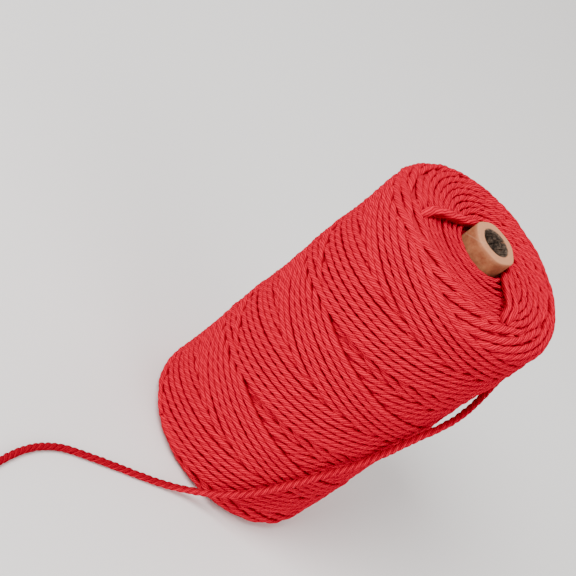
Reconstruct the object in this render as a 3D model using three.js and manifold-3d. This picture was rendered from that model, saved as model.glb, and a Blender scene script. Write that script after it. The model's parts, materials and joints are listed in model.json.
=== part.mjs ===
// A cross-wound roll of three-strand cotton cord on a paper tube, standing upright on its flat end.
// Millimetres, +Z up. The origin is the middle of the flat base.
// Bearings are degrees round the roll, 0 at the front (-Y) and 90 at the right (+X).
import * as THREE from 'three';
import { mergeVertices } from 'three/addons/utils/BufferGeometryUtils.js';
import Module from 'manifold-3d';

const wasm = await Module();
wasm.setup();

// Driving dimensions of the cord
const CORD_D = 3.3;                // relaxed diameter
const CORD_LAY = 10.2;             // length of one full turn of its three strands
const STRAND_LOBE = 0.1;           // how far the strands stand out, as a share of the radius
const GAP = 0.3;                   // between neighbouring pieces

// Driving dimensions of the winding
const ROLL_H = 156;                // base to crown
const ROLL_R_TOP = 45.8;           // just under the top shoulder
const ROLL_R_FOOT = 44.2;          // just over the foot's rounding
const SHOULDER = { rise: 10, reach: 13.5 };
const FOOT = { rise: 6.5, reach: 8.2 };
const CRATER = 3.3;                // fall of the top face from the crown in to the tube
const LEAD = 50.8;                 // climb of the cord in one turn round the roll
const CROSSING = { bearing: -34.7, z: 104.6 };   // where the last two passes cross at the front
const BAND_RISE = 1.8;             // height of the newest pass over the oldest
const BANDS_PER_LEAD = 5;
const BAND_RIDGE = 0.55;           // half the depth of the grooves between bands
const RINGS_ON_TOP = 4;            // the rings of cord that stand proud on the top face
const RING_GROOVE = 0.6;           // depth between them
const WINDING_COLUMNS = 64;
const SIDE_ROWS = 44;

// Driving dimensions of the tube
const TUBE_R = 10.3;
const BORE_R = 6.0;
const TUBE_TOP = 160.2;
const TUBE_EDGE = 0.7;             // worn edge of its ends
const TUBE_COLUMNS = 36;
const SEAT_R = TUBE_R * 1.04 + GAP;   // hole through the winding, clear of the tube's high spots

const crownEdge = ROLL_R_TOP - SHOULDER.reach;
const baseEdge = ROLL_R_FOOT - FOOT.reach;
const sideTop = ROLL_H - SHOULDER.rise;
const rad = THREE.MathUtils.degToRad;

const COTTON = new THREE.MeshStandardMaterial({ color: 0xe32b38, roughness: 0.95, metalness: 0 });
const KRAFT = new THREE.MeshStandardMaterial({ color: 0xcd9270, roughness: 0.85, metalness: 0 });

const part = new THREE.Group();

function addPiece(name, geometry, material) {
  const mesh = new THREE.Mesh(geometry, material);
  mesh.name = name;
  part.add(mesh);
}

function atBearing(bearing, radius, z) {
  const a = rad(bearing);
  return new THREE.Vector3(radius * Math.sin(a), -radius * Math.cos(a), z);
}

function meshOf(positions, faces) {
  const geometry = new THREE.BufferGeometry();
  geometry.setAttribute('position', new THREE.Float32BufferAttribute(positions, 3));
  geometry.setIndex(faces);
  return geometry;
}

// A closed ring: a closed loop of profile points carried round the axis.
// place(bearing, point) gives each point's radius and height at that bearing.
function ringSolid(loop, columns, place) {
  const positions = [];
  const faces = [];
  const n = loop.length;
  for (let c = 0; c < columns; c++) {
    const bearing = (360 * c) / columns;
    for (const point of loop) {
      const { r, z } = place(bearing, point);
      positions.push(...atBearing(bearing, r, z).toArray());
    }
    const here = c * n;
    const next = ((c + 1) % columns) * n;
    for (let k = 0; k < n; k++) {
      const m = (k + 1) % n;
      faces.push(here + k, next + k, next + m, here + k, next + m, here + m);
    }
  }
  return meshOf(positions, faces);
}

// A three-strand rope along a curve, laid to the left, its strands raised in the points of a closed tube
function ropeSolid(curve, sides, steps) {
  const length = curve.getLength();
  const positions = [];
  const faces = [];
  const side = new THREE.Vector3().crossVectors(curve.getTangentAt(0), new THREE.Vector3(0, 0, 1));
  for (let s = 0; s <= steps; s++) {
    const centre = curve.getPointAt(s / steps);
    const along = curve.getTangentAt(s / steps);
    side.addScaledVector(along, -side.dot(along)).normalize();
    const over = new THREE.Vector3().crossVectors(along, side);
    const turn = (-2 * Math.PI * length * s) / steps / CORD_LAY;
    for (let k = 0; k < sides; k++) {
      const a = (2 * Math.PI * k) / sides;
      const r = (CORD_D / 2) * (1 - STRAND_LOBE + STRAND_LOBE * Math.cos(3 * a));
      const point = centre.clone();
      point.addScaledVector(side, r * Math.cos(a + turn));
      point.addScaledVector(over, r * Math.sin(a + turn));
      positions.push(...point.toArray());
    }
  }
  for (let s = 0; s < steps; s++) {
    for (let k = 0; k < sides; k++) {
      const a = s * sides + k;
      const b = s * sides + ((k + 1) % sides);
      faces.push(a, b, b + sides, a, b + sides, a + sides);
    }
  }
  const last = steps * sides;
  for (let k = 1; k < sides - 1; k++) {
    faces.push(0, k + 1, k, last, last + k, last + k + 1);
  }
  return meshOf(positions, faces);
}

function toManifold(geometry) {
  const merged = mergeVertices(geometry, 1e-4);
  return new wasm.Manifold(new wasm.Mesh({
    numProp: 3,
    vertProperties: merged.getAttribute('position').array,
    triVerts: new Uint32Array(merged.getIndex().array),
  }));
}

function fromManifold(solid) {
  const mesh = solid.getMesh();
  return meshOf(Array.from(mesh.vertProperties), Array.from(mesh.triVerts));
}

// The tube's outline: round, pressed a little flat on six sides
function tubeRadius(bearing, radius) {
  const sixFlats = 0.025 * Math.cos(rad(6 * (bearing - 8)));
  const oval = -0.012 * Math.cos(rad(2 * bearing));
  return radius * (1 + sixFlats + oval);
}

function coreTube() {
  const e = TUBE_EDGE;
  const middle = TUBE_TOP / 2;
  const loop = [
    [TUBE_R - e, 0], [TUBE_R, e], [TUBE_R, middle], [TUBE_R, TUBE_TOP - e],
    [TUBE_R - 0.3 * e, TUBE_TOP - 0.3 * e], [TUBE_R - e, TUBE_TOP],
    [BORE_R + e, TUBE_TOP], [BORE_R + 0.3 * e, TUBE_TOP - 0.3 * e],
    [BORE_R, TUBE_TOP - e], [BORE_R, middle], [BORE_R, e], [BORE_R + e, 0],
  ];
  return ringSolid(loop, TUBE_COLUMNS, (bearing, [r, z]) => ({ r: tubeRadius(bearing, r), z }));
}

// Height of the winding's top at a radius: a crown, a dip in to the tube and a shoulder out to the side
function topHeight(radius) {
  if (radius > crownEdge) {
    const out = Math.min(1, (radius - crownEdge) / SHOULDER.reach);
    return sideTop + SHOULDER.rise * Math.sqrt(1 - out * out);
  }
  const inward = Math.min(1, (crownEdge - radius) / (crownEdge - SEAT_R));
  return ROLL_H - CRATER * (1 - Math.cos(rad(90 * inward)));
}

// How late the cord that shows at a point was wound, 0 for the oldest pass to 1 for the newest.
// One family of passes falls to the right and one climbs, and the newer of the two shows.
function passAge(bearing, z) {
  const climb = (LEAD * (bearing - CROSSING.bearing)) / 360;
  const fraction = (v) => v - Math.floor(v);
  const falling = 1 - fraction((CROSSING.z - climb - z) / LEAD);
  const climbing = 1 - fraction((z - CROSSING.z - climb) / LEAD);
  return Math.max(falling, climbing);
}

// The winding's profile, from the base's inner edge out, up the side and over the top to the tube.
// Each point is [radius, height, share of the bands' relief].
function windingLoop() {
  const loop = [[SEAT_R, 0, 0], [(SEAT_R + baseEdge) / 2, 0, 0], [baseEdge, 0, 0]];
  const footRows = 4;
  for (let k = 1; k <= footRows; k++) {
    const a = rad((90 * k) / footRows);
    loop.push([baseEdge + FOOT.reach * Math.sin(a), FOOT.rise * (1 - Math.cos(a)), (0.6 * k) / footRows]);
  }
  for (let k = 1; k <= SIDE_ROWS; k++) {
    const t = k / SIDE_ROWS;
    const radius = ROLL_R_FOOT + (ROLL_R_TOP - ROLL_R_FOOT) * t;
    loop.push([radius, FOOT.rise + (sideTop - FOOT.rise) * t, Math.min(1, 0.6 + 4 * t, 0.4 + 6 * (1 - t))]);
  }
  const shoulderRows = 6;
  for (let k = 1; k <= shoulderRows; k++) {
    const radius = crownEdge + SHOULDER.reach * Math.cos(rad((90 * k) / shoulderRows));
    loop.push([radius, topHeight(radius), 0.4 * (1 - k / shoulderRows)]);
  }
  const faceRows = 2 * RINGS_ON_TOP;
  for (let k = 1; k <= faceRows; k++) {
    const radius = crownEdge + ((SEAT_R - crownEdge) * k) / faceRows;
    loop.push([radius, topHeight(radius) - (k % 2) * RING_GROOVE, 0]);
  }
  loop.push([SEAT_R, ROLL_H * 0.6, 0], [SEAT_R, ROLL_H * 0.3, 0]);
  return loop;
}

// Lengths of cord that cross the top face, each from beside the tube [x, y] out to the shoulder [x, y]
const CROSSING_CORDS = [
  { from: [-13.1, -2.8], to: [-23.2, -24.9] },
  { from: [13.7, -1.4], to: [25.2, -24.3] },
  { from: [12.4, -4.5], to: [20.7, -23.0] },
];

function crossingCord({ from, to }) {
  const pieces = 6;
  const points = [];
  for (let k = 0; k <= pieces; k++) {
    const x = from[0] + ((to[0] - from[0]) * k) / pieces;
    const y = from[1] + ((to[1] - from[1]) * k) / pieces;
    const lift = k === 0 || k === pieces ? -0.55 * CORD_D : 0.1 * CORD_D;
    points.push(new THREE.Vector3(x, y, topHeight(Math.hypot(x, y)) + lift));
  }
  return ropeSolid(new THREE.CatmullRomCurve3(points), 6, 16);
}

function winding() {
  const body = ringSolid(windingLoop(), WINDING_COLUMNS, (bearing, [r, z, relief]) => {
    const age = passAge(bearing, z);
    const ridge = BAND_RIDGE * Math.cos(2 * Math.PI * BANDS_PER_LEAD * age);
    return { r: r + relief * (BAND_RISE * (age - 0.75) + ridge), z };
  });
  let solid = toManifold(body);
  for (const cord of CROSSING_CORDS) {
    solid = solid.add(toManifold(crossingCord(cord)));
  }
  return fromManifold(solid);
}

// The loose end's centre: on the roll as [bearing, radius, height], then to the table as [x, y, z]
const ROUTE_ON_ROLL = [
  [160, 47.5, 136.6], [148, 47.7, 134.9], [136, 47.9, 132.6], [125, 48.1, 128.6],
  [116, 48.3, 122.6], [109.5, 48.4, 115.8], [103, 48.4, 109.2], [94.5, 48.2, 104.0],
  [85, 48.0, 100.2], [76, 48.0, 96.0], [69.5, 47.9, 90.2], [65, 47.8, 82.2],
  [61, 47.6, 73.0], [54, 47.4, 61.2], [46, 47.2, 49.2], [38.7, 47.1, 36.6],
  [31.8, 47.1, 25.4], [24.4, 47.4, 16.6], [16.4, 48.3, 9.6],
];
const ROUTE_ON_TABLE = [
  [6.8, -50.8, 4.6], [-0.2, -57.2, 2.2], [-8.8, -66.0, 1.7], [-17.8, -75.2, 1.7],
  [-28.0, -86.0, 1.7], [-35.0, -94.0, 1.7], [-40.0, -103.0, 1.7], [-42.9, -113.2, 1.7],
  [-44.2, -127.4, 1.7], [-43.6, -142.0, 1.7], [-40.8, -157.0, 1.7],
];

function looseEnd() {
  const points = ROUTE_ON_ROLL.map(([bearing, r, z]) => atBearing(bearing, r, z));
  points.push(...ROUTE_ON_TABLE.map((p) => new THREE.Vector3(...p)));
  const curve = new THREE.CatmullRomCurve3(points, false, 'centripetal');
  curve.arcLengthDivisions = 600;
  const stepsPerLay = 5;
  return ropeSolid(curve, 9, Math.round((stepsPerLay * curve.getLength()) / CORD_LAY));
}

addPiece('core_tube', coreTube(), KRAFT);
addPiece('winding', winding(), COTTON);
addPiece('loose_end', looseEnd(), COTTON);

export default part;
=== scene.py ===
"""A cross-wound roll of red three-strand cotton cord on a paper tube, with one loose end.

Metres, +Z up, the origin in the middle of the flat base.
Bearings are degrees round the roll, 0 at the front (-Y) and 90 at the right (+X).
A place on the roll is a bearing and a distance up its profile, which equals the height on the side.
"""

import json
import math

import bpy
import numpy as np
from mathutils import Matrix, Vector

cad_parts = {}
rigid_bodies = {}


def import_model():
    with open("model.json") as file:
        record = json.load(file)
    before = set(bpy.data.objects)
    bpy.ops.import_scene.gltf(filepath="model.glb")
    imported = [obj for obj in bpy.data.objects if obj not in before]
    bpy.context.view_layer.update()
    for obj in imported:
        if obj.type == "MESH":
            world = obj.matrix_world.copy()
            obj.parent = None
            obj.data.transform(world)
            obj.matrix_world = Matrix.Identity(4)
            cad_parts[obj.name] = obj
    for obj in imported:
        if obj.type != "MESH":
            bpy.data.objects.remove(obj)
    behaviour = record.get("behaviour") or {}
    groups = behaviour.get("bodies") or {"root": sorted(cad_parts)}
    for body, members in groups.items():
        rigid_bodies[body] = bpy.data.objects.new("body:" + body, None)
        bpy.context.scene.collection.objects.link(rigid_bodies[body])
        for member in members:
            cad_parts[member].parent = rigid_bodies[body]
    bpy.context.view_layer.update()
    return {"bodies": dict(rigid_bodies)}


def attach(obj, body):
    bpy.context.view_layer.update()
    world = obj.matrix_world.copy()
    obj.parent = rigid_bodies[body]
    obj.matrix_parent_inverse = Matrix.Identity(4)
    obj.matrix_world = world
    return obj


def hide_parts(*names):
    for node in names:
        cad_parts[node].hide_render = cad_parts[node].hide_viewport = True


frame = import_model()
BODY = next(iter(frame["bodies"]))
SEED = 7
rng = np.random.default_rng(SEED)

# The cord
CORD_D = 0.0033
WOUND_D = 0.00335           # on the side of the roll, where the cords swell against each other
TOP_D = 0.0031              # on the top face
CORD_LAY = 0.0145           # length of one full turn of its three strands
LAY_HAND = -1               # which way round the strands are laid: left-hand
STRANDS = 3
YARNS = 9                   # yarns that show round the cord, three to a strand
STRAND_GROOVE = 0.16        # depth of the grooves between strands, as a share of the radius
CORD_POINTS_ROUND = 12
CORD_STEPS_IN_LAY = 10
LUMP, LUMP_RISE = 0.0026, 0.00042  # size and height of the uneven spots that soft cord has

# The cord where it is slack
LOOSE_LAY = 0.0102          # of the loose end
LOOSE_GROOVE = 0.26         # nothing pulls or presses on the loose end, so its strands stand out
LOOSE_FACING = 0.35         # it has nothing beside it, so no side of it takes as much painted shade as in the roll
SLACK_LAY = 0.034           # the crossing cords have come untwisted

# The cotton
FIBRE_D = 0.00034           # tufts of fibre, drawn coarser than single fibres, which would not show
FIBRE_SHOW = 0.0016         # length over which a tuft shows before it goes under
FIBRE_UNTWIST = -0.8        # the fibres turn back against the strands, so they lie nearly straight
YARN_SWAY = 0.004           # length over which the lines between yarns wander
SWAY_TURN = 0.9             # and how far round the cord, in radians
COTTON_BUMP = 0.0004
FLUFF_D = 0.00045           # patches of loose fibre, drawn coarser than they are
DYE_PATCH = 0.014           # patches that took up a little more or less dye

# The roll's outer form
ROLL_H = 0.156
ROLL_R_TOP = 0.0458
ROLL_R_FOOT = 0.0442
SHOULDER_RISE, SHOULDER_REACH = 0.010, 0.0135
FOOT_RISE, FOOT_REACH = 0.0065, 0.0082
CRATER = 0.0033             # fall of the top face from the crown in to the tube
SEAT_R = 0.0110             # the hole that the tube sits in
SIDE_TOP = ROLL_H - SHOULDER_RISE
CROWN_EDGE = ROLL_R_TOP - SHOULDER_REACH
BASE_EDGE = ROLL_R_FOOT - FOOT_REACH
CURVE_POINTS, SIDE_POINTS = 25, 60

# The winding: each pass climbs three turns, turns back at the top and falls three turns
LEAD = 0.0508               # climb in one turn
TURNS = 3
PASSES = 16                 # passes side by side before the next layer
APEX_BEARING = -34.7        # where the newest pass turns back
PASS_STEP = 360 / PASSES    # each older pass turns back this much further left
PASS_STRAY = 1.4            # give or take this many degrees
SHIFT_FROM, SHIFT_OVER = 3, 4  # over these passes the turns come to lie further left
SHIFT = -4.5                # by this many degrees, which the rest take up again
TURN_TOP = 0.1554           # where the straight lines of a climbing and a falling pass would meet
TURN_SOFTNESS = 0.0011      # how far short of that the cord turns back
BAND_RISE = 0.0012          # height of the newest pass over the oldest
BAND_OVER = 0.25            # the share of it that stands over the outer form
RELIEF = {"distance": [0, 0.010, 0.024, 0.128, 0.146, 0.156], "share": [0, 0.4, 1, 1, 0.3, 0]}
WOBBLE, WOBBLE_LENGTHS = 0.00007, (37, 61, 143)  # up and down, in waves of these many degrees
BUMP, BUMP_LENGTH = 0.00008, 23  # in and out
PATH_STEP = 1.3             # degrees between the points of a path round the roll

# Where newer passes cover older ones
UNDER = 0.0018              # how far a cord dips to go under another
COVER_FULL = 0.0006         # a newer cord whose line is this near hides this one
COVER_NONE_BESIDE = 0.0031  # a newer cord beside this one, further than this, leaves it as it is
COVER_NONE_ACROSS = 0.0036  # and a newer cord that crosses it
COVER_SHOWN = 0.985         # a cord is laid where less of it than this is hidden
RUN_ON = 2                  # points by which it runs on from there
SHORTEST_RUN, SHORTEST_ARC = 4, 8  # in points

# The older layers' turns, which show as short arcs on the end faces
ROW_PITCH = 0.00305         # between the rings of arcs
ARC_HALF = 22.5             # degrees to each side of the middle of an arc
ARCS_IN_RING = 8
TURN_STEP = ROW_PITCH / ARCS_IN_RING  # each older turn lies this much nearer the tube
TURN_FADE = 50              # over these many degrees a pass comes to lie that much nearer
ARC_SLANT = ROW_PITCH / ARC_HALF * 0.86  # drift towards the tube, for each degree
SLANT_FADE = 28             # over these many degrees a pass takes up the same drift
ARC_STRAY = 0.00012         # how far an arc strays from its place
ARC_DIVE = 0.0026           # how deep an arc's ends go
DIVE_SHARES = (0.85, 1.1)   # the least and the most of that at an end
ARC_DIVE_OVER = 8.0         # degrees over which an end goes down
ARC_OVERRUN = ARC_DIVE_OVER * 0.55  # degrees by which an arc runs on under the next one
FIRST_ARC = PASSES // 2     # the first arcs fill in under the older half of the passes
UNDER_PASSES = 0.0017       # and lie this much deeper than the rest
BASE_LIFT = 0.00025         # keeps the uneven spots of the foot's turns over the table
ROW_FROM_SEAT = 0.0021      # from the hole to the middle of the nearest arc
ROW_SLACK = 0.0006          # how far past that an arc's end may drift

# The rows in front of the tube end under the crossing cords: their edges in bearing, by radius
FRONT_EDGES = {
    "radius": [0.0125, 0.0150, 0.0178, 0.0255, 0.0350],
    "left": [-106, -84, -70, -55, -46.5],
    "right": [90, 76, 66, 55, 46],
}
FRONT_OUTER_R = 0.0352
FRONT_D, FRONT_PITCH = 0.0024, 0.0030
FRONT_FALL = {              # how far they lie under the rest of the face
    "radius": [0.011, 0.014, 0.019, 0.024, 0.029, 0.034, 0.037],
    "fall": [-0.0013, -0.0011, -0.0002, 0.0004, 0.0009, 0.0010, 0.0003],
}
EDGE_FADE = 12              # degrees over which the fall fades out at the edges
EDGE_UNDER = (2, 3)         # degrees by which the rows run on under them, left and right
EDGE_RAGGED = 4             # and by up to this much more at the left
FRONT_DIVES = (0.8, 0.9)    # the share of an arc's dive that their left and right ends take
FRONT_SWAY = {"size": 0.0005, "waves": 1.4, "next_row": 70}  # across the rows
FRONT_SINK = {"size": 0.0002, "waves": 2.3, "next_row": 130}  # in depth

# The cords that cross the top face, from behind the tube to the shoulder: plan points (x, y)
CROSSING_CORDS = [
    {"diameter": 0.0042, "plan": [(-0.0098, 0.0112), (-0.0124, 0.0036), (-0.0168, -0.0060),
                                  (-0.0214, -0.0158), (-0.0260, -0.0250)]},
    {"diameter": 0.0031, "plan": [(0.0086, 0.0114), (0.0118, 0.0056), (0.0170, -0.0026),
                                  (0.0233, -0.0118), (0.0272, -0.0212)]},
    {"diameter": 0.0030, "plan": [(0.0112, 0.0062), (0.0127, -0.0002), (0.0160, -0.0068),
                                  (0.0208, -0.0144), (0.0250, -0.0238)]},
]
CROSSING_RISE = 0.36        # how far its middle stands over the rings, in its own diameters
CROSSING_SINK = 1.3         # and how far its ends go down from there
SINK_START, SINK_END = 0.2, 0.12  # over these shares of its length

# The mass of cord under the turns that show
BURIED_DEPTH = 0.0018
END_PIT = 0.0005            # the pits between the arcs on the end faces are deeper
PITS = {"distance": [0, 0.008, 0.146, 0.158], "share": [1, 0, 0, 1]}
BURIED_COLUMNS = 120

# The tube
TUBE_R = 0.0103
BORE_R = 0.0060
TUBE_TOP = 0.1602
TUBE_EDGE = 0.0007
TUBE_SIDES = 6
TUBE_FLATS = 0.022          # how far it is out of round, pressed nearly six-sided
TUBE_CORNER = -22           # bearing of one of the corners
TUBE_COLUMNS = 144
TUBE_ROWS, BORE_ROWS, RIM_ROWS, EDGE_ROWS = 60, 50, 14, 7
TORN = 0.0009               # roughness of its inner edge
TORN_RIM = 0.0016           # how far out over the rim that reaches
TORN_DOWN, TORN_FADE = 0.012, 0.010  # how far down the bore, and over what length it comes in
TORN_LIFT = 0.35            # the share of the roughness that goes upwards
TORN_WAVES = range(2, 40)   # waves round the bore
TORN_SOFTNESS = 0.6         # how much weaker the finer waves are
PULP_D = 0.0007             # the paper's grain
TEAR_D = 0.0014             # size of the torn flakes in the bore
GLUE_PATCH = 0.0035
PAPER_BUMP = 0.0003
RIM_BAND = 0.0022           # how far down from the rim the lighter colour reaches
SEAM_LEAD = 0.044           # climb in one turn of the spiral seam
SEAM_PHASE = 0.807          # sets where round the tube the seam lies
SEAM_EDGE, SEAM_CORE = 0.012, 0.003  # where its pale line ends and where it is full, in turns

# The loose end's centre: on the roll as (bearing, radius, height), then on the table as (x, y, z)
LEAD_IN = [(173, 0.0432, 0.1352), (170, 0.0446, 0.1360), (166, 0.0464, 0.1366)]  # between the turns
ROUTE_ON_ROLL = [
    (160, 0.0475, 0.1366), (148, 0.0477, 0.1349), (136, 0.0479, 0.1326), (125, 0.0481, 0.1286),
    (116, 0.0483, 0.1226), (109.5, 0.0484, 0.1158), (103, 0.0484, 0.1092), (94.5, 0.0482, 0.1040),
    (85, 0.0480, 0.1002), (76, 0.0480, 0.0960), (69.5, 0.0479, 0.0902), (65, 0.0478, 0.0822),
    (61, 0.0476, 0.0730), (54, 0.0474, 0.0612), (46, 0.0472, 0.0492), (38.7, 0.0471, 0.0366),
    (31.8, 0.0471, 0.0254), (24.4, 0.0474, 0.0166), (16.4, 0.0483, 0.0096),
]
ROUTE_ON_TABLE = [
    (0.0068, -0.0508, 0.0046), (-0.0002, -0.0572, 0.0022), (-0.0088, -0.0660, 0.0017),
    (-0.0178, -0.0752, 0.0017), (-0.0280, -0.0860, 0.0017), (-0.0350, -0.0940, 0.0017),
    (-0.0400, -0.1030, 0.0017), (-0.0429, -0.1132, 0.0017), (-0.0442, -0.1274, 0.0017),
    (-0.0436, -0.1420, 0.0017), (-0.0408, -0.1570, 0.0017),
]

# The camera: where the photograph was taken from, and how far the picture is turned clockwise
CAMERA_AT = Vector((0.0, -0.6346, 0.4714))
CAMERA_TARGET = Vector((0.0, 0.0, 0.075))
CAMERA_TURN = 53.853
CAMERA_LENS_PX = 1800
PICTURE_PX = 576
TARGET_PX = (346.6, 352.4)  # where the target lies in the picture
SENSOR_MM = 36

# The studio
FLOOR_HALF = 4.0
LAMPS = [                   # name, place, size and watts
    ("key", (-0.50, -0.70, 1.15), 0.9, 26.0),
    ("fill", (0.9, -0.5, 0.7), 0.9, 5.0),
    ("back", (0.2, 0.9, 0.9), 0.7, 3.0),
]
LAMPS_AIM = Vector((0, 0, 0.08))
SURROUND_STRENGTH = 0.7

# Colours
COTTON_PAINTED_SHADE, COTTON_LIGHT = "#9C001A", "#F40038"  # painted shade in the grooves, in the lines between yarns and towards a neighbour, and the full colour where light falls on it
COTTON_FLUFF, COTTON_SHEEN = "#FF1244", "#FF4A60"
# the cotton down between the turns, painted darker than the cord's own red as shade
BURIED_DEEP, BURIED_LIGHT = "#A0001C", "#D00030"
KRAFT_DARK, KRAFT_LIGHT = "#81402A", "#B5774E"
KRAFT_RIM, KRAFT_SEAM = "#C48660", "#CFA07E"
BORE_PAINTED_SHADE, PULP_LIGHT = "#1C140F", "#7A6454"  # in the torn bore: painted shade, and grey-brown torn flakes
FLOOR, SURROUND = "#F5F3F1", "#F4F1EF"


def smoothstep(x):
    """Rises softly from 0 to 1 as x does."""
    x = np.clip(x, 0, 1)
    return x * x * (3 - 2 * x)


def linear(hex_colour):
    """An sRGB hex colour as linear RGBA."""
    channels = [int(hex_colour[i:i + 2], 16) / 255 for i in (1, 3, 5)]
    return [c / 12.92 if c <= 0.04045 else ((c + 0.055) / 1.055) ** 2.4 for c in channels] + [1.0]


def node(tree, kind, settings=(), links=(), values=()):
    """Adds a node: its properties, then links into its inputs, then values on its inputs.

    A link comes from an output, or from the first output of a node.
    """
    new = tree.nodes.new(kind)
    for name, value in dict(settings).items():
        setattr(new, name, value)
    for name, source in dict(links).items():
        output = source.outputs[0] if isinstance(source, bpy.types.Node) else source
        tree.links.new(output, new.inputs[name])
    for name, value in dict(values).items():
        new.inputs[name].default_value = value
    return new


def new_object(name, mesh):
    """A new object that holds the mesh."""
    piece = bpy.data.objects.new(name, mesh)
    bpy.context.scene.collection.objects.link(piece)
    return piece


def between(t, a, b, at_a, at_b):
    """The point at t on the line that passes a at at_a and b at at_b."""
    return (a * (at_b - t) + b * (t - at_a)) / (at_b - at_a)


def catmull_rom(points, steps=12):
    """A centripetal Catmull-Rom curve through the points."""
    p = np.asarray(points, float)
    p = np.vstack([2 * p[0] - p[1], p, 2 * p[-1] - p[-2]])
    curve = []
    for i in range(1, len(p) - 2):
        p0, p1, p2, p3 = p[i - 1:i + 3]
        k1 = math.sqrt(np.linalg.norm(p1 - p0))
        k2 = k1 + math.sqrt(np.linalg.norm(p2 - p1))
        k3 = k2 + math.sqrt(np.linalg.norm(p3 - p2))
        t = np.linspace(k1, k2, steps, endpoint=False)[:, None]
        a1, a2, a3 = between(t, p0, p1, 0, k1), between(t, p1, p2, k1, k2), between(t, p2, p3, k2, k3)
        b1, b2 = between(t, a1, a2, 0, k2), between(t, a2, a3, k1, k3)
        curve.append(between(t, b1, b2, k1, k2))
    return np.vstack(curve + [p[-2:-1]])


def place_camera():
    """The camera looks down at the front of the roll, its frame turned so that the roll leans right."""
    back = (CAMERA_AT - CAMERA_TARGET).normalized()
    right = Vector((1, 0, 0))
    up = back.cross(right)
    a = math.radians(CAMERA_TURN)
    picture_x = right * math.cos(a) + up * math.sin(a)
    picture_y = up * math.cos(a) - right * math.sin(a)
    centre = PICTURE_PX / 2
    aim = -back * CAMERA_LENS_PX + picture_x * (centre - TARGET_PX[0]) + picture_y * (TARGET_PX[1] - centre)
    z_axis = -aim.normalized()
    x_axis = picture_y.cross(z_axis).normalized()
    y_axis = z_axis.cross(x_axis)
    data = bpy.data.cameras.new("camera")
    data.sensor_width = SENSOR_MM
    data.lens = CAMERA_LENS_PX / PICTURE_PX * SENSOR_MM
    data.clip_start, data.clip_end = 0.01, 20
    camera = bpy.data.objects.new("camera", data)
    turn = Matrix((x_axis, y_axis, z_axis)).transposed().to_4x4()
    camera.matrix_world = Matrix.Translation(CAMERA_AT) @ turn
    bpy.context.scene.collection.objects.link(camera)
    bpy.context.scene.camera = camera


def roll_profile():
    """The roll's outline, from the base's hole up the side and in to the tube: distance, radius, height."""
    quarter = np.linspace(0, math.pi / 2, CURVE_POINTS)[1:]
    inward = np.linspace(0, 1, CURVE_POINTS)[1:]
    base_r = np.linspace(SEAT_R, BASE_EDGE, CURVE_POINTS)
    side = np.linspace(0, 1, SIDE_POINTS)[1:]
    radius = np.concatenate([
        base_r,
        BASE_EDGE + FOOT_REACH * np.sin(quarter),
        ROLL_R_FOOT + (ROLL_R_TOP - ROLL_R_FOOT) * side,
        CROWN_EDGE + SHOULDER_REACH * np.cos(quarter),
        CROWN_EDGE + (SEAT_R - CROWN_EDGE) * inward,
    ])
    height = np.concatenate([
        0 * base_r,
        FOOT_RISE * (1 - np.cos(quarter)),
        FOOT_RISE + (SIDE_TOP - FOOT_RISE) * side,
        SIDE_TOP + SHOULDER_RISE * np.sin(quarter),
        ROLL_H - CRATER * (1 - np.cos(inward * math.pi / 2)),
    ])
    distance = np.concatenate([[0], np.cumsum(np.hypot(np.diff(radius), np.diff(height)))])
    foot_top = len(base_r) + len(quarter) - 1
    return distance - distance[foot_top] + FOOT_RISE, radius, height


PROFILE_S, PROFILE_R, PROFILE_Z = roll_profile()
ON_TOP = PROFILE_Z > SIDE_TOP


def on_roll(bearing, s, depth):
    """Points at a bearing, a distance s up the profile and a depth under the outer form."""
    step = 0.0004
    r, z = np.interp(s, PROFILE_S, PROFILE_R), np.interp(s, PROFILE_S, PROFILE_Z)
    dr = np.interp(s + step, PROFILE_S, PROFILE_R) - np.interp(s - step, PROFILE_S, PROFILE_R)
    dz = np.interp(s + step, PROFILE_S, PROFILE_Z) - np.interp(s - step, PROFILE_S, PROFILE_Z)
    size = np.hypot(dr, dz)
    r = r - depth * dz / size
    z = z + depth * dr / size
    a = np.radians(bearing)
    return np.stack([r * np.sin(a), -r * np.cos(a), z], axis=-1)


def s_at_radius(radius):
    """The distance up the profile at which the top face has this radius."""
    return float(np.interp(-radius, -PROFILE_R[ON_TOP], PROFILE_S[ON_TOP]))


def relief_share(s):
    """How much of the passes' different heights shows: all of it on the side, little at the ends."""
    return np.interp(s, RELIEF["distance"], RELIEF["share"])


def pass_bearings():
    """The bearing at which each pass turns back at the top, the newest first."""
    n = np.arange(PASSES)
    bearings = APEX_BEARING - PASS_STEP * n
    bearings = bearings + rng.uniform(-PASS_STRAY, PASS_STRAY, PASSES)
    taken_up = PASSES - SHIFT_FROM - SHIFT_OVER / 2
    return bearings + SHIFT * (smoothstep((n - SHIFT_FROM) / SHIFT_OVER) * (PASSES - n) / taken_up)


PASS_BEARING = pass_bearings()
WOBBLE_PHASE = rng.uniform(0, 2 * math.pi, (PASSES, len(WOBBLE_LENGTHS)))


def pass_line(n, t):
    """Distance up the profile of pass n, t degrees after it turns back at the top."""
    fall = LEAD * np.abs(t) / 360
    rise = TURNS * LEAD - fall
    soft_top = np.hypot(fall, TURN_SOFTNESS)
    soft_foot = np.hypot(rise, TURN_SOFTNESS) - rise
    inward = TURN_STEP * n * np.exp(-(t / TURN_FADE) ** 2) + ARC_SLANT * t * np.exp(-(t / SLANT_FADE) ** 2)
    from_foot = 360 * TURNS - np.abs(t)
    outward = -TURN_STEP * n * np.exp(-(from_foot / TURN_FADE) ** 2)
    waves = 0
    for wavelength, phase in zip(WOBBLE_LENGTHS, WOBBLE_PHASE[n]):
        waves = waves + WOBBLE * np.sin(2 * math.pi * t / wavelength + phase)
    return TURN_TOP - soft_top + soft_foot + inward + outward + waves


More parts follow.
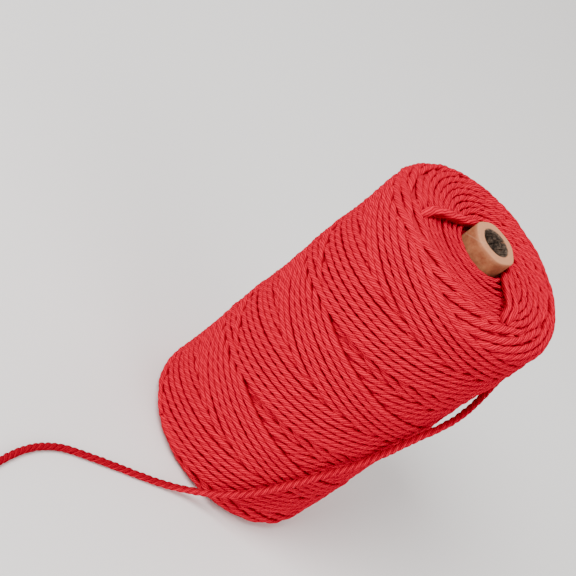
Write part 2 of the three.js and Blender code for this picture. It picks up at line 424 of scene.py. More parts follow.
def cover(n, t):
    """How far pass n is hidden, 0 to 1, t degrees after its turn.

    Newer passes lie over it, and where it crosses itself its first half lies over its second.
    """
    bearing = PASS_BEARING[n] + t
    own = pass_line(n, t)
    hidden = np.zeros_like(t)
    for newer in range(n + 1):
        for turn in range(-TURNS, TURNS):
            other_t = (bearing - PASS_BEARING[newer]) % 360 + 360 * turn
            apart = np.abs(pass_line(newer, other_t) - own)
            none = np.where((t > 0) == (other_t > 0), COVER_NONE_BESIDE, COVER_NONE_ACROSS)
            over = smoothstep((none - apart) / (none - COVER_FULL))
            if newer == n:
                over = np.where((t > 0) & (other_t < 0), over, 0)
            hidden = np.maximum(hidden, over)
    return hidden


def runs_of(keep, shortest):
    """Start and end of each unbroken run of kept points."""
    edges = np.flatnonzero(np.diff(np.concatenate([[0], keep.astype(int), [0]])))
    return [(a, b) for a, b in zip(edges[::2], edges[1::2]) if b - a >= shortest]


def pass_paths(n):
    """The parts of pass n that show, each dipping under the newer cords at its ends."""
    reach = 360 * TURNS
    t = np.arange(-reach, reach, PATH_STEP)
    s = pass_line(n, t)
    hidden = cover(n, t)
    rise = BAND_RISE * (BAND_OVER - n / PASSES) * relief_share(s)
    bumps = BUMP * np.sin(2 * math.pi * t / BUMP_LENGTH + WOBBLE_PHASE[n, 0])
    points = on_roll(PASS_BEARING[n] + t, s, CORD_D / 2 + UNDER * hidden - rise + bumps)
    shown = hidden < COVER_SHOWN
    shown = shown | np.roll(shown, RUN_ON) | np.roll(shown, -RUN_ON)
    return [points[a:b] for a, b in runs_of(shown, SHORTEST_RUN)]


def front_edges(radius):
    """The bearings of the front rows' two edges at this radius."""
    return [np.interp(radius, FRONT_EDGES["radius"], FRONT_EDGES[side]) for side in ("left", "right")]


def front_fall(bearing, radius):
    """How far the rows between the crossing cords lie under the rest of the face."""
    b = (np.asarray(bearing) + 180) % 360 - 180
    left, right = front_edges(radius)
    across = smoothstep((b - left) / EDGE_FADE) * smoothstep((right - b) / EDGE_FADE)
    return across * np.interp(radius, FRONT_FALL["radius"], FRONT_FALL["fall"])


def arc_path(bearings, s, dive_start, dive_end, extra_depth):
    """One arc of cord on an end face, its two ends going down into the roll."""
    from_start = smoothstep((bearings[0] + ARC_DIVE_OVER - bearings) / ARC_DIVE_OVER)
    from_end = smoothstep((bearings - bearings[-1] + ARC_DIVE_OVER) / ARC_DIVE_OVER)
    depth = CORD_D / 2 + dive_start * from_start + dive_end * from_end + extra_depth
    return on_roll(bearings, s, depth)


def along_arc():
    """The points of an arc, in degrees from its middle."""
    reach = ARC_HALF + ARC_OVERRUN
    return np.arange(-reach, reach + 0.1, PATH_STEP)


def depth_under_passes(m):
    """How much deeper arc m lies because passes go over it."""
    return 0.0 if m >= PASSES else UNDER_PASSES


def top_arc_paths():
    """The older layers' turns at the top: short slanting arcs, in rings that run in to the tube."""
    paths = []
    t = along_arc()
    first_s = TURN_TOP - TURN_SOFTNESS
    last_s = s_at_radius(SEAT_R + ROW_FROM_SEAT)
    m = FIRST_ARC
    while first_s + TURN_STEP * m < last_s:
        s = first_s + TURN_STEP * m + ARC_SLANT * t + rng.uniform(-ARC_STRAY, ARC_STRAY)
        s = np.minimum(s, last_s + ROW_SLACK)
        bearings = APEX_BEARING - PASS_STEP * m + t
        radius = np.interp(s, PROFILE_S, PROFILE_R)
        wrapped = (bearings + 180) % 360 - 180
        left, right = front_edges(radius)
        inside = (wrapped > left) & (wrapped < right) & (radius < FRONT_OUTER_R)
        for a, b in runs_of(~inside, SHORTEST_ARC):
            fall = front_fall(bearings[a:b], radius[a:b]) + depth_under_passes(m)
            dives = ARC_DIVE * rng.uniform(*DIVE_SHARES, 2)
            paths.append(arc_path(bearings[a:b], s[a:b], dives[0], dives[1], fall))
        m += 1
    return paths


def row_wave(wave, bearings, row):
    """How far a front row strays, in slow waves that differ from row to row."""
    return wave["size"] * np.sin(np.radians(bearings * wave["waves"] + wave["next_row"] * row))


def front_row_paths():
    """The long level rows between the cords that cross the top face."""
    paths = []
    rows = np.arange(SEAT_R + ROW_FROM_SEAT, FRONT_OUTER_R, FRONT_PITCH)
    for row, radius in enumerate(rows):
        left, right = front_edges(radius)
        start = left - EDGE_UNDER[0] - rng.uniform(0, EDGE_RAGGED)
        bearings = np.arange(start, right + EDGE_UNDER[1], PATH_STEP)
        s = s_at_radius(radius) + row_wave(FRONT_SWAY, bearings, row)
        fall = front_fall(bearings, radius) + row_wave(FRONT_SINK, bearings, row)
        paths.append(arc_path(bearings, s, ARC_DIVE * FRONT_DIVES[0], ARC_DIVE * FRONT_DIVES[1], fall))
    return paths


def foot_arc_paths():
    """The older layers' turns at the foot, in to the tube: the mirror image of the top's."""
    paths = []
    t = along_arc()
    first_s = TURN_TOP - TURNS * LEAD + TURN_SOFTNESS
    last_s = PROFILE_S[0] + ROW_FROM_SEAT
    m = FIRST_ARC
    while first_s - TURN_STEP * m > last_s:
        s = first_s - TURN_STEP * m - ARC_SLANT * t
        s = np.maximum(s, last_s - ROW_SLACK)
        bearings = APEX_BEARING - PASS_STEP * m + t
        paths.append(arc_path(bearings, s, ARC_DIVE, ARC_DIVE, depth_under_passes(m) + BASE_LIFT))
        m += 1
    return paths


def crossing_path(cord):
    """A cord lying across the rings of the top face, its ends going down into the roll."""
    plan = catmull_rom([(x, y, 0) for x, y in cord["plan"]])
    k = np.linspace(0, 1, len(plan))
    radius = np.hypot(plan[:, 0], plan[:, 1])
    surface = np.interp(-radius, -PROFILE_R[ON_TOP], PROFILE_Z[ON_TOP])
    sink = smoothstep((SINK_START - k) / SINK_START) + smoothstep((k - (1 - SINK_END)) / SINK_END)
    plan[:, 2] = surface + cord["diameter"] * (CROSSING_RISE - CROSSING_SINK * sink)
    return plan


def on_bearing(bearing, radius, height):
    """The point at a bearing, a radius and a height."""
    a = math.radians(bearing)
    return np.array([radius * math.sin(a), -radius * math.cos(a), height])


def loose_end_path():
    """The loose end's centre, from between two turns at the back to its cut end on the table."""
    points = [on_bearing(*p) for p in LEAD_IN + ROUTE_ON_ROLL] + [np.array(p) for p in ROUTE_ON_TABLE]
    return catmull_rom(points)


def cord_tree():
    """Geometry Nodes that lay three strands round every line of a mesh, as a cord of left-hand lay."""
    tree = bpy.data.node_groups.new("lay_three_strands", "GeometryNodeTree")
    add_socket = tree.interface.new_socket
    add_socket("Lines", in_out="INPUT", socket_type="NodeSocketGeometry")
    for name in ("Diameter", "Lay", "Groove", "Lumps in a metre", "Lump height"):
        add_socket(name, in_out="INPUT", socket_type="NodeSocketFloat")
    for name in ("Points round", "Steps in a lay"):
        add_socket(name, in_out="INPUT", socket_type="NodeSocketInt")
    add_socket("Finish", in_out="INPUT", socket_type="NodeSocketMaterial")
    add_socket("Cord", in_out="OUTPUT", socket_type="NodeSocketGeometry")
    given = tree.nodes.new("NodeGroupInput").outputs

    # The line, in even steps that turn with the lay
    lines = node(tree, "GeometryNodeMeshToCurve", links={"Mesh": given["Lines"]})
    step = node(tree, "ShaderNodeMath", {"operation": "DIVIDE"},
                {0: given["Lay"], 1: given["Steps in a lay"]})
    stepped = node(tree, "GeometryNodeResampleCurve", {"mode": "LENGTH"},
                   {"Curve": lines, "Length": step})
    along = node(tree, "GeometryNodeSplineParameter").outputs["Length"]
    turns = node(tree, "ShaderNodeMath", {"operation": "DIVIDE"}, {0: along, 1: given["Lay"]})
    twist = node(tree, "ShaderNodeMath", {"operation": "MULTIPLY"}, {0: turns},
                 {1: LAY_HAND * 2 * math.pi})
    twisted = node(tree, "GeometryNodeSetCurveTilt", links={"Curve": stepped, "Tilt": twist})
    measured = node(tree, "GeometryNodeCaptureAttribute", links={"Geometry": twisted})
    measured.capture_items.new("FLOAT", "along")
    tree.links.new(along, measured.inputs["along"])

    # The section: a circle drawn in between the strands
    radius = node(tree, "ShaderNodeMath", {"operation": "DIVIDE"}, {0: given["Diameter"]}, {1: 2.0})
    circle = node(tree, "GeometryNodeCurvePrimitiveCircle",
                  links={"Resolution": given["Points round"], "Radius": radius})
    position = node(tree, "GeometryNodeInputPosition")
    parts = node(tree, "ShaderNodeSeparateXYZ", links={0: position}).outputs
    angle = node(tree, "ShaderNodeMath", {"operation": "ARCTAN2"}, {0: parts["Y"], 1: parts["X"]})
    half_waves = node(tree, "ShaderNodeMath", {"operation": "MULTIPLY"}, {0: angle}, {1: STRANDS / 2})
    wave = node(tree, "ShaderNodeMath", {"operation": "COSINE"}, {0: half_waves})
    lobe = node(tree, "ShaderNodeMath", {"operation": "ABSOLUTE"}, {0: wave})
    floor = node(tree, "ShaderNodeMath", {"operation": "SUBTRACT"}, {1: given["Groove"]}, {0: 1.0})
    share = node(tree, "ShaderNodeMapRange", links={"Value": lobe, "To Min": floor})
    grooved = node(tree, "ShaderNodeVectorMath", {"operation": "SCALE"}, {0: position, "Scale": share})
    strands = node(tree, "GeometryNodeSetPosition", links={"Geometry": circle, "Position": grooved})
    sectioned = node(tree, "GeometryNodeCaptureAttribute", links={"Geometry": strands})
    sectioned.capture_items.new("VECTOR", "section")
    over_radius = node(tree, "ShaderNodeMath", {"operation": "DIVIDE"}, {1: radius}, {0: 1.0})
    in_radii = node(tree, "ShaderNodeVectorMath", {"operation": "SCALE"},
                    {0: position, "Scale": over_radius})
    tree.links.new(in_radii.outputs[0], sectioned.inputs["section"])

    # The cord, with its uneven spots
    cord = node(tree, "GeometryNodeCurveToMesh", links={
        "Curve": measured, "Profile Curve": sectioned}, values={"Fill Caps": True})
    lumps = node(tree, "ShaderNodeTexNoise", links={"Scale": given["Lumps in a metre"]},
                 values={"Detail": 1.0})
    centred = node(tree, "ShaderNodeVectorMath", {"operation": "SUBTRACT"},
                   {0: lumps.outputs["Color"]}, {1: (0.5, 0.5, 0.5)})
    offset = node(tree, "ShaderNodeVectorMath", {"operation": "SCALE"},
                  {0: centred, "Scale": given["Lump height"]})
    lumpy = node(tree, "GeometryNodeSetPosition", links={"Geometry": cord, "Offset": offset})
    smooth = node(tree, "GeometryNodeSetShadeSmooth", links={"Geometry": lumpy})

    # What the cotton reads: the length along the cord, and the place in its section in radii
    with_along = node(tree, "GeometryNodeStoreNamedAttribute", {"data_type": "FLOAT"}, {
        "Geometry": smooth, "Value": measured.outputs["along"]}, {"Name": "cord_along"})
    with_section = node(tree, "GeometryNodeStoreNamedAttribute", {"data_type": "FLOAT_VECTOR"}, {
        "Geometry": with_along, "Value": sectioned.outputs["section"]},
        {"Name": "cord_section"})
    real = node(tree, "GeometryNodeRealizeInstances", links={"Geometry": with_section})
    finished = node(tree, "GeometryNodeSetMaterial", links={
        "Geometry": real, "Material": given["Finish"]})
    node(tree, "NodeGroupOutput", links={"Cord": finished})
    return tree


def lay_cord(name, paths, tree, finish, diameter=WOUND_D, lay=CORD_LAY, groove=STRAND_GROOVE):
    """A mesh piece of three-strand cord along each of the paths."""
    vertices = np.vstack(paths)
    starts = np.cumsum([0] + [len(path) for path in paths])
    edges = [(i, i + 1) for a, b in zip(starts[:-1], starts[1:]) for i in range(a, b - 1)]
    lines = bpy.data.meshes.new(name + "_lines")
    lines.from_pydata(vertices.tolist(), edges, [])
    holder = new_object(name + "_lines", lines)
    modifier = holder.modifiers.new("cord", "NODES")
    modifier.node_group = tree
    sizes = {
        "Diameter": diameter, "Lay": lay, "Groove": groove,
        "Lumps in a metre": 1 / LUMP, "Lump height": LUMP_RISE,
        "Points round": CORD_POINTS_ROUND, "Steps in a lay": CORD_STEPS_IN_LAY, "Finish": finish,
    }
    for socket in tree.interface.items_tree:
        if socket.name in sizes:
            modifier[socket.identifier] = sizes[socket.name]
    depsgraph = bpy.context.evaluated_depsgraph_get()
    mesh = bpy.data.meshes.new_from_object(holder.evaluated_get(depsgraph))
    mesh.name = name
    bpy.data.objects.remove(holder)
    return new_object(name, mesh)


def facing_out(piece):
    """For each point of a cord, the cosine between its normal and the way out of the roll."""
    mesh = piece.data
    points = np.empty(len(mesh.vertices) * 3)
    mesh.vertices.foreach_get("co", points)
    normals = np.empty(len(mesh.vertices) * 3)
    mesh.vertex_normals.foreach_get("vector", normals)
    points, normals = points.reshape(-1, 3), normals.reshape(-1, 3)
    radius = np.hypot(points[:, 0], points[:, 1])
    inner = np.minimum(1, CROWN_EDGE / radius)
    core = np.column_stack([points[:, 0] * inner, points[:, 1] * inner,
                            np.clip(points[:, 2], FOOT_REACH, ROLL_H - SHOULDER_REACH)])
    outward = points - core
    outward = outward / np.maximum(np.linalg.norm(outward, axis=1, keepdims=True), 1e-6)
    return np.sum(outward * normals, axis=1)


def mark_facing(piece, facing):
    """Stores how squarely each point faces out of the roll, which sets the cotton's painted shade: 1 on a
    crest, 0 towards a neighbour.
    """
    attribute = piece.data.attributes.new("cord_facing", "FLOAT", "POINT")
    attribute.data.foreach_set("value", facing)


def lathe(name, rings, columns, finish):
    """A closed ring as a piece: rings(bearings) gives the points of its section at each bearing."""
    bearings = np.arange(columns) * 360 / columns
    points = rings(bearings)
    rows = points.shape[0]
    faces = []
    for row in range(rows):
        above = (row + 1) % rows
        for c in range(columns):
            d = (c + 1) % columns
            faces.append((row * columns + c, row * columns + d, above * columns + d, above * columns + c))
    mesh = bpy.data.meshes.new(name)
    mesh.from_pydata(points.reshape(-1, 3).tolist(), [], faces)
    mesh.polygons.foreach_set("use_smooth", [True] * len(faces))
    mesh.materials.append(finish)
    return new_object(name, mesh)


def pass_age(bearing, s):
    """How late the cord that shows here was wound, 0 to 1."""
    climb = LEAD * (bearing - APEX_BEARING) / 360
    falling = 1 - ((TURN_TOP - climb - s) / LEAD) % 1
    climbing = 1 - ((s - TURN_TOP - climb) / LEAD) % 1
    return np.maximum(falling, climbing)


def buried_turns(finish):
    """The mass of cord under the turns that show: one closed ring, seen only down the gaps."""
    def rings(bearings):
        b, s = np.meshgrid(bearings, PROFILE_S[1:-1])
        rise = BAND_RISE * (pass_age(b, s) - (1 - BAND_OVER)) * relief_share(s)
        on_ends = np.interp(s, PITS["distance"], PITS["share"])
        shell = on_roll(b, s, BURIED_DEPTH + END_PIT * on_ends - np.minimum(rise, 0))
        top_hole, base_hole = [on_roll(bearings, np.full_like(bearings, PROFILE_S[k]), 0) for k in (-1, 0)]
        top_hole[:, 2] -= BURIED_DEPTH
        base_hole[:, 2] += BURIED_DEPTH
        return np.concatenate([shell, np.stack([top_hole, base_hole])])

    return lathe("buried_turns", rings, BURIED_COLUMNS, finish)


def tube_section():
    """The tube's wall as a closed loop of (radius, height): up the outside, over the rim, down the bore."""
    e = TUBE_EDGE
    worn = np.linspace(0, math.pi / 2, EDGE_ROWS)
    heights = np.linspace(e, TUBE_TOP - e, TUBE_ROWS)
    outer = [(TUBE_R - e + e * math.cos(a), e - e * math.sin(a)) for a in worn[::-1]]
    outer += [(TUBE_R, z) for z in heights[1:-1]]
    outer += [(TUBE_R - e + e * math.cos(a), TUBE_TOP - e + e * math.sin(a)) for a in worn]
    rim = np.linspace(TUBE_R - e, BORE_R + e, RIM_ROWS)[1:-1]
    inner = [(BORE_R + e - e * math.sin(a), TUBE_TOP - e + e * math.cos(a)) for a in worn]
    inner += [(BORE_R, z) for z in TUBE_TOP - np.geomspace(e, TUBE_TOP - e, BORE_ROWS)[1:-1]]
    inner += [(BORE_R + e - e * math.cos(a), e - e * math.sin(a)) for a in worn]
    return np.array(outer + [(r, TUBE_TOP) for r in rim] + inner + [(r, 0.0) for r in rim[::-1]])


def torn_paper(bearings, heights):
    """How far the wall of the bore is roughed up, at each height and bearing."""
    a, z = np.meshgrid(np.radians(bearings), heights)
    total = np.zeros(a.shape)
    for waves in TORN_WAVES:
        across = rng.uniform(-1, 1) * waves / BORE_R
        size = rng.normal()
        phase = rng.uniform(0, 2 * math.pi)
        total += size * np.cos(waves * a + across * z + phase) / waves ** TORN_SOFTNESS
    return TORN * total / np.abs(total).max()


def paper_tube(finish):
    """The paper tube: pressed a little flat on six sides, worn at the rims and torn inside."""
    section = tube_section()

    def rings(bearings):
        r, z, b = section[:, :1], section[:, 1:], bearings[None, :]
        flats = TUBE_FLATS * np.cos(np.radians(TUBE_SIDES * (b - TUBE_CORNER)))
        torn = torn_paper(bearings, section[:, 1])
        near_bore = smoothstep((BORE_R + TORN_RIM - r) / TORN_RIM)
        near_top = smoothstep((z - TUBE_TOP + TORN_DOWN) / TORN_FADE)
        radius = r * (1 + flats) + torn * near_bore * near_top
        height = z + TORN_LIFT * torn * near_bore * near_top
        a = np.radians(b)
        return np.stack([radius * np.sin(a), -radius * np.cos(a), np.maximum(height, 0)], axis=-1)

    return lathe("paper_tube", rings, TUBE_COLUMNS, finish)


def empty_material(name):
    """A new material with no nodes in it, and its tree."""
    material = bpy.data.materials.new(name)
    material.use_nodes = True
    material.node_tree.nodes.clear()
    return material, material.node_tree


def cotton():
    """Twisted cotton, dyed in the yarn and unwaxed: dead matt, with painted shade in soft lines between its
    yarns, down between the strands and on the sides that face a neighbour, and a faint bloom of loose
    fibres."""
    material, tree = empty_material("red_twisted_cotton")
    section = node(tree, "ShaderNodeAttribute", {"attribute_name": "cord_section"}).outputs["Vector"]
    along = node(tree, "ShaderNodeAttribute", {"attribute_name": "cord_along"}).outputs["Fac"]
    facing = node(tree, "ShaderNodeAttribute", {"attribute_name": "cord_facing"}).outputs["Fac"]
    where = node(tree, "ShaderNodeTexCoord").outputs["Object"]

    # Tufts of fibre, which lie nearly straight along the cord
    turn = node(tree, "ShaderNodeMath", {"operation": "MULTIPLY"}, {0: along},
                {1: LAY_HAND * FIBRE_UNTWIST * 2 * math.pi / CORD_LAY})
    straight = node(tree, "ShaderNodeVectorRotate", {"rotation_type": "Z_AXIS"},
                    {"Vector": section, "Angle": turn})
    shift = node(tree, "ShaderNodeMath", {"operation": "MULTIPLY"}, {0: along},
                 {1: FIBRE_D / FIBRE_SHOW / (CORD_D / 2)})
    shifted = node(tree, "ShaderNodeCombineXYZ", links={"Z": shift})
    place = node(tree, "ShaderNodeVectorMath", {"operation": "ADD"}, {0: straight, 1: shifted})
    fibre = node(tree, "ShaderNodeTexNoise", links={"Vector": place},
                 values={"Scale": CORD_D / 2 / FIBRE_D, "Detail": 2.0, "Roughness": 0.55})

    # Yarns: 1 on the back of each, 0 in the line between two
    parts = node(tree, "ShaderNodeSeparateXYZ", links={0: section}).outputs
    angle = node(tree, "ShaderNodeMath", {"operation": "ARCTAN2"}, {0: parts["Y"], 1: parts["X"]})
    sway = node(tree, "ShaderNodeTexNoise", links={"Vector": where}, values={"Scale": 1 / YARN_SWAY})
    swayed = node(tree, "ShaderNodeMath", {"operation": "MULTIPLY_ADD"},
                  {0: sway.outputs["Fac"], 2: angle}, {1: SWAY_TURN})
    half_waves = node(tree, "ShaderNodeMath", {"operation": "MULTIPLY"}, {0: swayed}, {1: YARNS / 2})
    wave = node(tree, "ShaderNodeMath", {"operation": "COSINE"}, {0: half_waves})
    yarn = node(tree, "ShaderNodeMath", {"operation": "ABSOLUTE"}, {0: wave})

    # Painted shade in the grooves, in the lines between yarns and towards a neighbour, and full colour
    # elsewhere
    out = node(tree, "ShaderNodeVectorMath", {"operation": "LENGTH"}, {0: section})
    crest = node(tree, "ShaderNodeMapRange", links={"Value": out.outputs["Value"]},
                 values={"From Min": 1 - LOOSE_GROOVE, "From Max": 1.0, "To Min": 0.35})
    on_yarn = node(tree, "ShaderNodeMapRange", links={"Value": yarn},
                   values={"From Max": 0.7, "To Min": 0.12})
    open_to_light = node(tree, "ShaderNodeMath", {"operation": "MULTIPLY"}, {0: crest, 1: on_yarn})
    clear = node(tree, "ShaderNodeMapRange", {"interpolation_type": "SMOOTHSTEP"}, {"Value": facing},
                 {"From Min": 0.18, "From Max": 0.72})
    lit = node(tree, "ShaderNodeMath", {"operation": "MULTIPLY"}, {0: open_to_light, 1: clear})
    shaded_colour = node(tree, "ShaderNodeMix", {"data_type": "RGBA"}, {"Factor": lit},
                {"A": linear(COTTON_PAINTED_SHADE), "B": linear(COTTON_LIGHT)})

    # Uneven dye, and a bloom of loose fibre
    lines = node(tree, "ShaderNodeMapRange", links={"Value": fibre.outputs["Fac"]},
                 values={"To Min": 0.80, "To Max": 1.2})
    dye = node(tree, "ShaderNodeTexNoise", links={"Vector": where},
               values={"Scale": 1 / DYE_PATCH, "Detail": 2.0})
    patches = node(tree, "ShaderNodeMapRange", links={"Value": dye.outputs["Fac"]},
                   values={"To Min": 0.92, "To Max": 1.08})
    shade = node(tree, "ShaderNodeMath", {"operation": "MULTIPLY"}, {0: lines, 1: patches})
    shaded = node(tree, "ShaderNodeVectorMath", {"operation": "SCALE"},
                  {0: shaded_colour.outputs["Result"], "Scale": shade})
    fluff = node(tree, "ShaderNodeTexNoise", links={"Vector": where},
                 values={"Scale": 1 / FLUFF_D, "Detail": 2.0, "Roughness": 0.6})
    bloom = node(tree, "ShaderNodeMapRange", links={"Value": fluff.outputs["Fac"]},
                 values={"From Min": 0.58, "From Max": 0.82, "To Max": 0.3})
    fibres = node(tree, "ShaderNodeMix", {"data_type": "RGBA"},
                  {"Factor": bloom, "A": shaded}, {"B": linear(COTTON_FLUFF)})

    rough = node(tree, "ShaderNodeMath", {"operation": "MULTIPLY_ADD"},
                 {0: fibre.outputs["Fac"], 2: yarn}, {1: 0.5})
    height = node(tree, "ShaderNodeMath", {"operation": "MULTIPLY_ADD"},
                  {0: fluff.outputs["Fac"], 2: rough}, {1: 0.35})
    bump = node(tree, "ShaderNodeBump", links={"Height": height},
                values={"Strength": 1.0, "Distance": COTTON_BUMP})
    shader = node(tree, "ShaderNodeBsdfPrincipled", links={
        "Base Color": fibres.outputs["Result"], "Normal": bump}, values={
        "Roughness": 0.95, "IOR": 1.47, "Specular IOR Level": 0.02,
        "Sheen Weight": 0.03, "Sheen Roughness": 0.3, "Sheen Tint": linear(COTTON_SHEEN)})
    node(tree, "ShaderNodeOutputMaterial", links={"Surface": shader})
    return material


def shadowed_cotton():
    """The same cotton down between the turns, painted a deeper red than its own as shade, mottled by its
    fibres, with no twist showing.
    """
    material, tree = empty_material("cotton_between_turns")
    where = node(tree, "ShaderNodeTexCoord").outputs["Object"]
    noise = node(tree, "ShaderNodeTexNoise", links={"Vector": where},
                 values={"Scale": 1 / FIBRE_D, "Detail": 2.0})
    shaded_colour = node(tree, "ShaderNodeMix", {"data_type": "RGBA"}, {"Factor": noise.outputs["Fac"]},
                {"A": linear(BURIED_DEEP), "B": linear(BURIED_LIGHT)})
    bump = node(tree, "ShaderNodeBump", links={"Height": noise.outputs["Fac"]},
                values={"Strength": 0.6, "Distance": COTTON_BUMP})
    shader = node(tree, "ShaderNodeBsdfPrincipled", links={
        "Base Color": shaded_colour.outputs["Result"], "Normal": bump},
        values={"Roughness": 0.95, "Specular IOR Level": 0.1})
    node(tree, "ShaderNodeOutputMaterial", links={"Surface": shader})
    return material


def kraft_paper():
    """Kraft paper wound in a spiral and glued: warm brown outside with blotches of glue and a pale seam, a
    little lighter at the top rim, and torn and grey-brown inside the bore, where painted shade darkens it
    nearly to black between pale torn flakes."""
    material, tree = empty_material("spiral_wound_kraft_paper")
    where = node(tree, "ShaderNodeTexCoord").outputs["Object"]
    parts = node(tree, "ShaderNodeSeparateXYZ", links={0: where}).outputs

    # Glue showing through in blotches, and the lighter top rim
    glue = node(tree, "ShaderNodeTexNoise", links={"Vector": where},
                values={"Scale": 1 / GLUE_PATCH, "Detail": 4.0, "Roughness": 0.65})
    blotch = node(tree, "ShaderNodeMapRange", links={"Value": glue.outputs["Fac"]},
                  values={"From Min": 0.25, "From Max": 0.75})
    side = node(tree, "ShaderNodeMix", {"data_type": "RGBA"}, {"Factor": blotch},
                {"A": linear(KRAFT_DARK), "B": linear(KRAFT_LIGHT)})
    on_top = node(tree, "ShaderNodeMapRange", links={"Value": parts["Z"]},
                  values={"From Min": TUBE_TOP - RIM_BAND, "From Max": TUBE_TOP})
    topped = node(tree, "ShaderNodeMix", {"data_type": "RGBA"},
                  {"Factor": on_top, "A": side.outputs["Result"]}, {"B": linear(KRAFT_RIM)})

    # The seam, where the height in leads less the bearing in turns comes to a half
    back = node(tree, "ShaderNodeMath", {"operation": "MULTIPLY"}, {0: parts["Y"]}, {1: -1.0})
    bearing = node(tree, "ShaderNodeMath", {"operation": "ARCTAN2"}, {0: parts["X"], 1: back})
    fallen = node(tree, "ShaderNodeMath", {"operation": "DIVIDE"}, {0: bearing}, {1: -2 * math.pi})
    climbed = node(tree, "ShaderNodeMath", {"operation": "MULTIPLY_ADD"},
                   {0: parts["Z"], 2: fallen}, {1: 1 / SEAM_LEAD})
    shifted = node(tree, "ShaderNodeMath", {"operation": "ADD"}, {0: climbed}, {1: SEAM_PHASE})
    turn = node(tree, "ShaderNodeMath", {"operation": "FRACT"}, {0: shifted})
    centred = node(tree, "ShaderNodeMath", {"operation": "SUBTRACT"}, {0: turn}, {1: 0.5})
    off_seam = node(tree, "ShaderNodeMath", {"operation": "ABSOLUTE"}, {0: centred})
    on_seam = node(tree, "ShaderNodeMapRange", links={"Value": off_seam},
                   values={"From Min": SEAM_EDGE, "From Max": SEAM_CORE, "To Max": 0.25})
    seamed = node(tree, "ShaderNodeMix", {"data_type": "RGBA"},
                  {"Factor": on_seam, "A": topped.outputs["Result"]}, {"B": linear(KRAFT_SEAM)})

    # The torn bore, darkened by painted shade between its pale torn flakes
    flat = node(tree, "ShaderNodeCombineXYZ", links={"X": parts["X"], "Y": parts["Y"]})
    radius = node(tree, "ShaderNodeVectorMath", {"operation": "LENGTH"}, {0: flat})
    in_bore = node(tree, "ShaderNodeMapRange", links={"Value": radius.outputs["Value"]},
                   values={"From Min": BORE_R + 0.0010, "From Max": BORE_R + 0.0004})
    tear = node(tree, "ShaderNodeTexNoise", links={"Vector": where},
                values={"Scale": 1 / TEAR_D, "Detail": 5.0, "Roughness": 0.75})
    torn_share = node(tree, "ShaderNodeMapRange", links={"Value": tear.outputs["Fac"]},
                      values={"From Min": 0.38, "From Max": 0.66})
    torn = node(tree, "ShaderNodeMix", {"data_type": "RGBA"}, {"Factor": torn_share},
                {"A": linear(BORE_PAINTED_SHADE), "B": linear(PULP_LIGHT)})
    bored = node(tree, "ShaderNodeMix", {"data_type": "RGBA"}, {
        "Factor": in_bore, "A": seamed.outputs["Result"], "B": torn.outputs["Result"]})

    # The paper's grain, in its colour and its surface
    pulp = node(tree, "ShaderNodeTexNoise", links={"Vector": where},
                values={"Scale": 1 / PULP_D, "Detail": 5.0, "Roughness": 0.7})
    grain = node(tree, "ShaderNodeMapRange", links={"Value": pulp.outputs["Fac"]},
                 values={"To Min": 0.78, "To Max": 1.2})
    shaded = node(tree, "ShaderNodeVectorMath", {"operation": "SCALE"},
                  {0: bored.outputs["Result"], "Scale": grain})
    height = node(tree, "ShaderNodeMath", {"operation": "MULTIPLY_ADD"},
                  {0: on_seam, 2: pulp.outputs["Fac"]}, {1: 0.8})
    rough = node(tree, "ShaderNodeMath", {"operation": "MULTIPLY_ADD"},
                 {0: torn_share, 1: in_bore, 2: height})
    bump = node(tree, "ShaderNodeBump", links={"Height": rough},
                values={"Strength": 0.6, "Distance": PAPER_BUMP})
    shader = node(tree, "ShaderNodeBsdfPrincipled", links={
        "Base Color": shaded, "Normal": bump},
        values={"Roughness": 0.85, "IOR": 1.5, "Specular IOR Level": 0.25})
    node(tree, "ShaderNodeOutputMaterial", links={"Surface": shader})
    return material


def pale_floor():
    """A matt floor, nearly white and a little warm."""
    material = bpy.data.materials.new("pale_floor")
    material.use_nodes = True
    shader = material.node_tree.nodes["Principled BSDF"]
    shader.inputs["Base Color"].default_value = linear(FLOOR)
    shader.inputs["Roughness"].default_value = 0.9
    return material


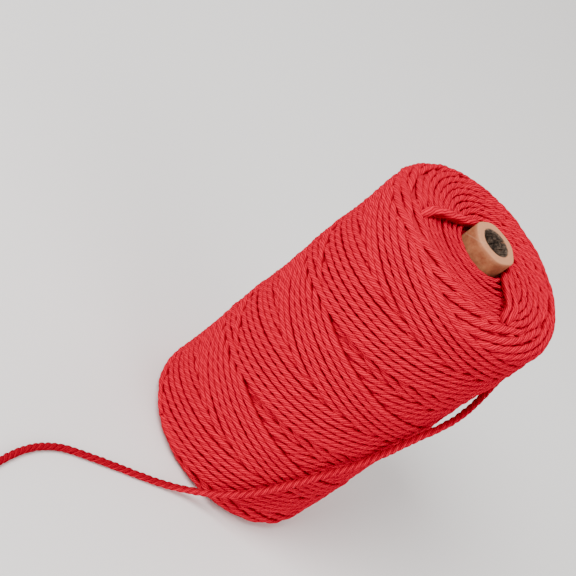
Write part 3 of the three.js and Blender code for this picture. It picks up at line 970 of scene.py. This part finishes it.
def studio():
    """A plain pale floor, a wide soft lamp over the camera's side, two weak ones and a pale surround."""
    h = FLOOR_HALF
    mesh = bpy.data.meshes.new("floor")
    mesh.from_pydata([(-h, -h, 0), (h, -h, 0), (h, h, 0), (-h, h, 0)], [], [(0, 1, 2, 3)])
    mesh.materials.append(pale_floor())
    new_object("floor", mesh)
    for name, at, size, watts in LAMPS:
        data = bpy.data.lights.new(name, "AREA")
        data.shape = "DISK"
        data.size = size
        data.energy = watts
        lamp = bpy.data.objects.new(name, data)
        turn = (LAMPS_AIM - Vector(at)).to_track_quat("-Z", "Y").to_matrix().to_4x4()
        lamp.matrix_world = Matrix.Translation(at) @ turn
        bpy.context.scene.collection.objects.link(lamp)
    world = bpy.data.worlds.new("surround")
    world.use_nodes = True
    background = world.node_tree.nodes["Background"]
    background.inputs["Color"].default_value = linear(SURROUND)
    background.inputs["Strength"].default_value = SURROUND_STRENGTH
    bpy.context.scene.world = world


def dress(piece, slot, *nodes):
    """Sets a piece on the body, in place of the plain solids it stands for."""
    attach(piece, BODY)
    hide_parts(*nodes)


def wind(piece):
    """Makes a piece of cord part of the winding."""
    mark_facing(piece, facing_out(piece))
    dress(piece, "cotton_cord", "winding")


def loose_end(tree, finish):
    """The free cord, from between two turns at the back, round the right side and out over the table."""
    route = loose_end_path()
    loose = lay_cord("loose_end_cord", [route], tree, finish, CORD_D, LOOSE_LAY, LOOSE_GROOVE)
    mark_facing(loose, np.maximum(facing_out(loose), LOOSE_FACING))
    dress(loose, "cotton_cord", "loose_end")


def wound_side(tree, finish):
    """The passes that show on the side of the roll, in pieces of equal numbers."""
    names = ("latest_passes", "later_passes", "earlier_passes", "earliest_passes")
    for quarter, name in enumerate(names):
        passes = range(quarter * PASSES // len(names), (quarter + 1) * PASSES // len(names))
        paths = [path for n in passes for path in pass_paths(n)]
        wind(lay_cord(name, paths, tree, finish))


def wound_ends(tree, finish):
    """The turns on the two end faces, and the cords that cross the top one."""
    wind(lay_cord("top_turns", top_arc_paths(), tree, finish, TOP_D))
    wind(lay_cord("front_rows", front_row_paths(), tree, finish, FRONT_D))
    wind(lay_cord("foot_turns", foot_arc_paths(), tree, finish))
    for count, cord in enumerate(CROSSING_CORDS, 1):
        path = crossing_path(cord)
        wind(lay_cord(f"crossing_cord_{count}", [path], tree, finish, cord["diameter"], SLACK_LAY))


place_camera()
studio()
red_cotton = cotton()
three_strands = cord_tree()
loose_end(three_strands, red_cotton)
wound_side(three_strands, red_cotton)
wound_ends(three_strands, red_cotton)
dress(buried_turns(shadowed_cotton()), "cotton_cord", "winding")
dress(paper_tube(kraft_paper()), "kraft_tube", "core_tube")
